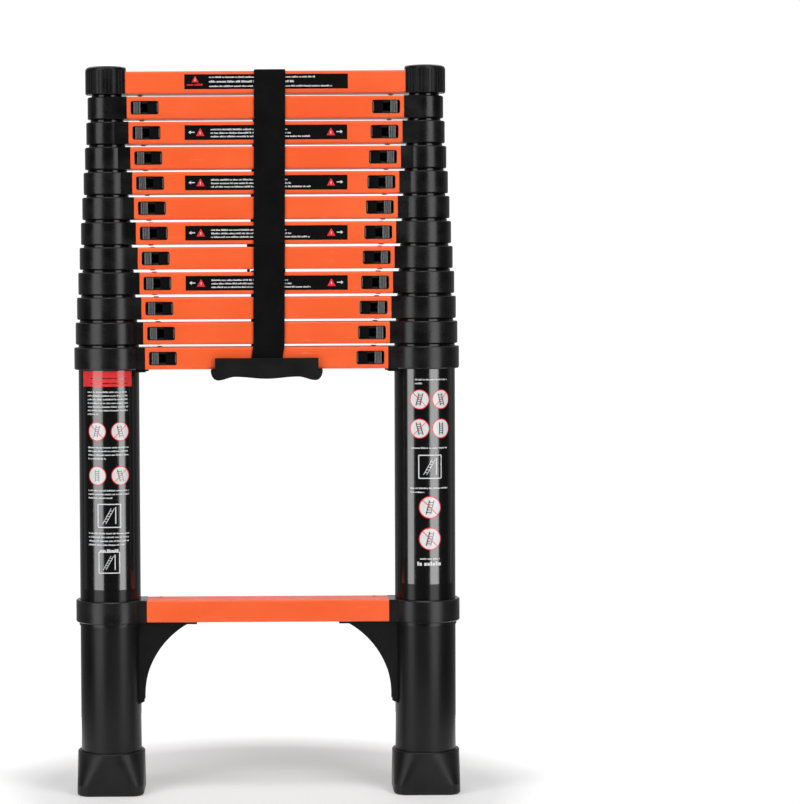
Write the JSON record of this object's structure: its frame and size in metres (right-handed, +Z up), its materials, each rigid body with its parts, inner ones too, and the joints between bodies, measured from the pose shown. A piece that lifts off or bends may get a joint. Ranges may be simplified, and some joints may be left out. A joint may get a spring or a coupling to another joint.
{
  "type": "telescoping ladder",
  "caption": "Telescoping ladder shown closed: two rails of nested tubes with collars, a stack of rungs with thumb latches, brackets and feet, strapped for carrying.",
  "frame": {"origin": "on the ground, midway between the two feet and midway from front to back", "axes": "+Z up along the rails, X along the rungs with +X to the right seen from the front, -Y the front with the thumb latches"},
  "size_m": [0.4568, 0.0818, 0.861],
  "materials": {
    "foot_rubber": "matte, lightly textured",
    "tube_black": "satin black coating",
    "stile_black": "satin black coating on the tubes, moulded plastic on the collars",
    "collar_plastic": "fine moulded grain",
    "bracket_black": "satin powder coat",
    "rivet_metal": "satin",
    "handle_plastic": "moulded, matte",
    "webbing": "woven polypropylene webbing",
    "buckle_plastic": "moulded, satin",
    "rung_orange": "satin orange coating on extruded aluminium",
    "latch_grey": "ribbed thumb pad with a steel lock pin behind it",
    "label_film": "glossy black sticker film",
    "label_white": "white print on a sticker",
    "label_red": "red print on a sticker",
    "thread": "sewing thread on the webbing"
  },
  "bodies": {
    "base": {"foot_left": "foot_rubber", "foot_right": "foot_rubber", "base_tube_left": "tube_black", "base_tube_right": "tube_black", "collars_01": "collar_plastic", "collars_02": "collar_plastic", "rung_01": "rung_orange", "rung_02": "rung_orange", "bracket_left": "bracket_black", "bracket_right": "bracket_black", "bracket_rivets": "rivet_metal", "handle": "handle_plastic", "strap_lower": "webbing", "buckle_socket": "buckle_plastic"},
    "section_03": {"stiles_03": "stile_black", "rung_03": "rung_orange"},
    "section_04": {"stiles_04": "stile_black", "rung_04": "rung_orange"},
    "section_05": {"stiles_05": "stile_black", "rung_05": "rung_orange"},
    "section_06": {"stiles_06": "stile_black", "rung_06": "rung_orange"},
    "section_07": {"stiles_07": "stile_black", "rung_07": "rung_orange"},
    "section_08": {"stiles_08": "stile_black", "rung_08": "rung_orange"},
    "section_09": {"stiles_09": "stile_black", "rung_09": "rung_orange"},
    "section_10": {"stiles_10": "stile_black", "rung_10": "rung_orange"},
    "section_11": {"stiles_11": "stile_black", "rung_11": "rung_orange"},
    "section_12": {"stiles_12": "stile_black", "rung_12": "rung_orange"},
    "section_13": {"stiles_13": "stile_black", "rung_13": "rung_orange", "strap": "webbing", "buckle_plug": "buckle_plastic"},
    "latch_left_02": {"latch_left_02": "latch_grey"},
    "latch_left_03": {"latch_left_03": "latch_grey"},
    "latch_left_04": {"latch_left_04": "latch_grey"},
    "latch_left_05": {"latch_left_05": "latch_grey"},
    "latch_left_06": {"latch_left_06": "latch_grey"},
    "latch_left_07": {"latch_left_07": "latch_grey"},
    "latch_left_08": {"latch_left_08": "latch_grey"},
    "latch_left_09": {"latch_left_09": "latch_grey"},
    "latch_left_10": {"latch_left_10": "latch_grey"},
    "latch_left_11": {"latch_left_11": "latch_grey"},
    "latch_left_12": {"latch_left_12": "latch_grey"},
    "latch_right_02": {"latch_right_02": "latch_grey"},
    "latch_right_03": {"latch_right_03": "latch_grey"},
    "latch_right_04": {"latch_right_04": "latch_grey"},
    "latch_right_05": {"latch_right_05": "latch_grey"},
    "latch_right_06": {"latch_right_06": "latch_grey"},
    "latch_right_07": {"latch_right_07": "latch_grey"},
    "latch_right_08": {"latch_right_08": "latch_grey"},
    "latch_right_09": {"latch_right_09": "latch_grey"},
    "latch_right_10": {"latch_right_10": "latch_grey"},
    "latch_right_11": {"latch_right_11": "latch_grey"},
    "latch_right_12": {"latch_right_12": "latch_grey"}
  },
  "joints": [
    {"name": "section_03_slide", "type": "slide", "parent": "base", "child": "section_03", "axis": [0, 0, 1], "range_m": [0, 0.2655]},
    {"name": "section_04_slide", "type": "slide", "parent": "section_03", "child": "section_04", "axis": [0, 0, 1], "range_m": [0, 0.2655]},
    {"name": "section_05_slide", "type": "slide", "parent": "section_04", "child": "section_05", "axis": [0, 0, 1], "range_m": [0, 0.2655]},
    {"name": "section_06_slide", "type": "slide", "parent": "section_05", "child": "section_06", "axis": [0, 0, 1], "range_m": [0, 0.2655]},
    {"name": "section_07_slide", "type": "slide", "parent": "section_06", "child": "section_07", "axis": [0, 0, 1], "range_m": [0, 0.2655]},
    {"name": "section_08_slide", "type": "slide", "parent": "section_07", "child": "section_08", "axis": [0, 0, 1], "range_m": [0, 0.2655]},
    {"name": "section_09_slide", "type": "slide", "parent": "section_08", "child": "section_09", "axis": [0, 0, 1], "range_m": [0, 0.2655]},
    {"name": "section_10_slide", "type": "slide", "parent": "section_09", "child": "section_10", "axis": [0, 0, 1], "range_m": [0, 0.2655]},
    {"name": "section_11_slide", "type": "slide", "parent": "section_10", "child": "section_11", "axis": [0, 0, 1], "range_m": [0, 0.2655]},
    {"name": "section_12_slide", "type": "slide", "parent": "section_11", "child": "section_12", "axis": [0, 0, 1], "range_m": [0, 0.2655]},
    {"name": "section_13_slide", "type": "slide", "parent": "section_12", "child": "section_13", "axis": [0, 0, 1], "range_m": [0, 0.2655]},
    {"name": "latch_left_02_slide", "type": "slide", "parent": "base", "child": "latch_left_02", "axis": [1, 0, 0], "range_m": [-0.0016, 0.008], "stiffness_N_per_m": 300},
    {"name": "latch_left_03_slide", "type": "slide", "parent": "section_03", "child": "latch_left_03", "axis": [1, 0, 0], "range_m": [-0.0016, 0.008], "stiffness_N_per_m": 300},
    {"name": "latch_left_04_slide", "type": "slide", "parent": "section_04", "child": "latch_left_04", "axis": [1, 0, 0], "range_m": [-0.0016, 0.008], "stiffness_N_per_m": 300},
    {"name": "latch_left_05_slide", "type": "slide", "parent": "section_05", "child": "latch_left_05", "axis": [1, 0, 0], "range_m": [-0.0016, 0.008], "stiffness_N_per_m": 300},
    {"name": "latch_left_06_slide", "type": "slide", "parent": "section_06", "child": "latch_left_06", "axis": [1, 0, 0], "range_m": [-0.0016, 0.008], "stiffness_N_per_m": 300},
    {"name": "latch_left_07_slide", "type": "slide", "parent": "section_07", "child": "latch_left_07", "axis": [1, 0, 0], "range_m": [-0.0016, 0.008], "stiffness_N_per_m": 300},
    {"name": "latch_left_08_slide", "type": "slide", "parent": "section_08", "child": "latch_left_08", "axis": [1, 0, 0], "range_m": [-0.0016, 0.008], "stiffness_N_per_m": 300},
    {"name": "latch_left_09_slide", "type": "slide", "parent": "section_09", "child": "latch_left_09", "axis": [1, 0, 0], "range_m": [-0.0016, 0.008], "stiffness_N_per_m": 300},
    {"name": "latch_left_10_slide", "type": "slide", "parent": "section_10", "child": "latch_left_10", "axis": [1, 0, 0], "range_m": [-0.0016, 0.008], "stiffness_N_per_m": 300},
    {"name": "latch_left_11_slide", "type": "slide", "parent": "section_11", "child": "latch_left_11", "axis": [1, 0, 0], "range_m": [-0.0016, 0.008], "stiffness_N_per_m": 300},
    {"name": "latch_left_12_slide", "type": "slide", "parent": "section_12", "child": "latch_left_12", "axis": [1, 0, 0], "range_m": [-0.0016, 0.008], "stiffness_N_per_m": 300},
    {"name": "latch_right_02_slide", "type": "slide", "parent": "base", "child": "latch_right_02", "axis": [-1, 0, 0], "range_m": [-0.0016, 0.008], "stiffness_N_per_m": 300},
    {"name": "latch_right_03_slide", "type": "slide", "parent": "section_03", "child": "latch_right_03", "axis": [-1, 0, 0], "range_m": [-0.0016, 0.008], "stiffness_N_per_m": 300},
    {"name": "latch_right_04_slide", "type": "slide", "parent": "section_04", "child": "latch_right_04", "axis": [-1, 0, 0], "range_m": [-0.0016, 0.008], "stiffness_N_per_m": 300},
    {"name": "latch_right_05_slide", "type": "slide", "parent": "section_05", "child": "latch_right_05", "axis": [-1, 0, 0], "range_m": [-0.0016, 0.008], "stiffness_N_per_m": 300},
    {"name": "latch_right_06_slide", "type": "slide", "parent": "section_06", "child": "latch_right_06", "axis": [-1, 0, 0], "range_m": [-0.0016, 0.008], "stiffness_N_per_m": 300},
    {"name": "latch_right_07_slide", "type": "slide", "parent": "section_07", "child": "latch_right_07", "axis": [-1, 0, 0], "range_m": [-0.0016, 0.008], "stiffness_N_per_m": 300},
    {"name": "latch_right_08_slide", "type": "slide", "parent": "section_08", "child": "latch_right_08", "axis": [-1, 0, 0], "range_m": [-0.0016, 0.008], "stiffness_N_per_m": 300},
    {"name": "latch_right_09_slide", "type": "slide", "parent": "section_09", "child": "latch_right_09", "axis": [-1, 0, 0], "range_m": [-0.0016, 0.008], "stiffness_N_per_m": 300},
    {"name": "latch_right_10_slide", "type": "slide", "parent": "section_10", "child": "latch_right_10", "axis": [-1, 0, 0], "range_m": [-0.0016, 0.008], "stiffness_N_per_m": 300},
    {"name": "latch_right_11_slide", "type": "slide", "parent": "section_11", "child": "latch_right_11", "axis": [-1, 0, 0], "range_m": [-0.0016, 0.008], "stiffness_N_per_m": 300},
    {"name": "latch_right_12_slide", "type": "slide", "parent": "section_12", "child": "latch_right_12", "axis": [-1, 0, 0], "range_m": [-0.0016, 0.008], "stiffness_N_per_m": 300}
  ]
}
